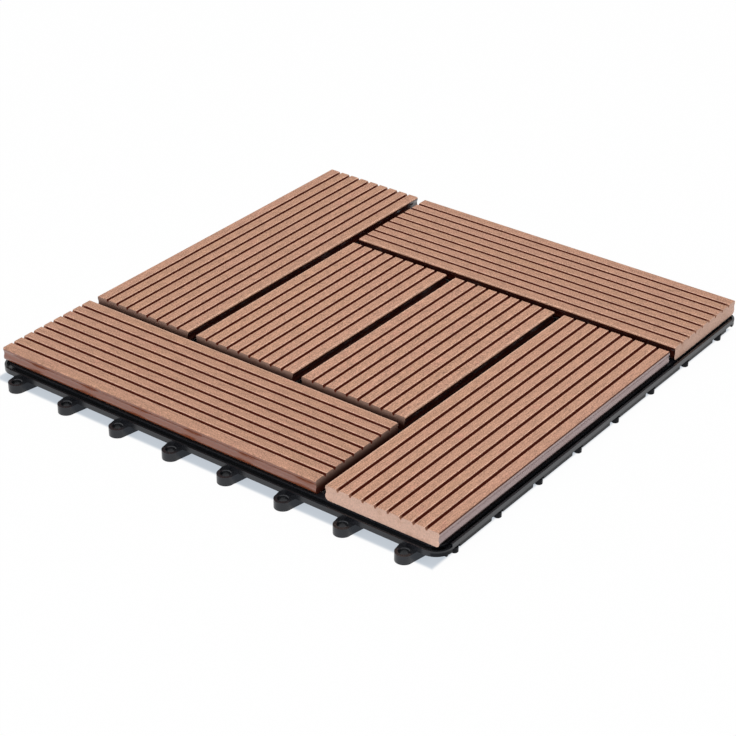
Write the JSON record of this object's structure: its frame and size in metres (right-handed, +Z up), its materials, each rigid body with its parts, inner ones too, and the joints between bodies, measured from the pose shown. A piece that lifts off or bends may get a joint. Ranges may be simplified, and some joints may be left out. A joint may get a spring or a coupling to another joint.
{
  "type": "interlocking deck tile",
  "caption": "Square interlocking deck tile: grooved wood-plastic slats in a pinwheel on a moulded grid base with loops on two sides and pegs on the other two.",
  "frame": {"origin": "the middle of the tile's own square, on the ground plane, under the middle foot; the loops stand out past the square at -X and -Y", "axes": "+Z up through the slats' top; the loops are on the -X and -Y sides and the pegs under the +X and +Y sides"},
  "size_m": [0.308, 0.308, 0.019],
  "materials": {
    "wood_plastic": "brushed matt wood-plastic composite",
    "black_plastic": "semi-gloss black moulding",
    "stainless_steel": "plain"
  },
  "bodies": {
    "root": {"slat_front_left": "wood_plastic", "slat_front_right": "wood_plastic", "slat_back_left": "wood_plastic", "slat_back_right": "wood_plastic", "slat_inner_left": "wood_plastic", "slat_inner_right": "wood_plastic", "slat_front_left_screws": "stainless_steel", "slat_front_right_screws": "stainless_steel", "slat_back_left_screws": "stainless_steel", "slat_back_right_screws": "stainless_steel", "slat_inner_left_screws": "stainless_steel", "slat_inner_right_screws": "stainless_steel", "base_grid": "black_plastic"}
  },
  "joints": []
}
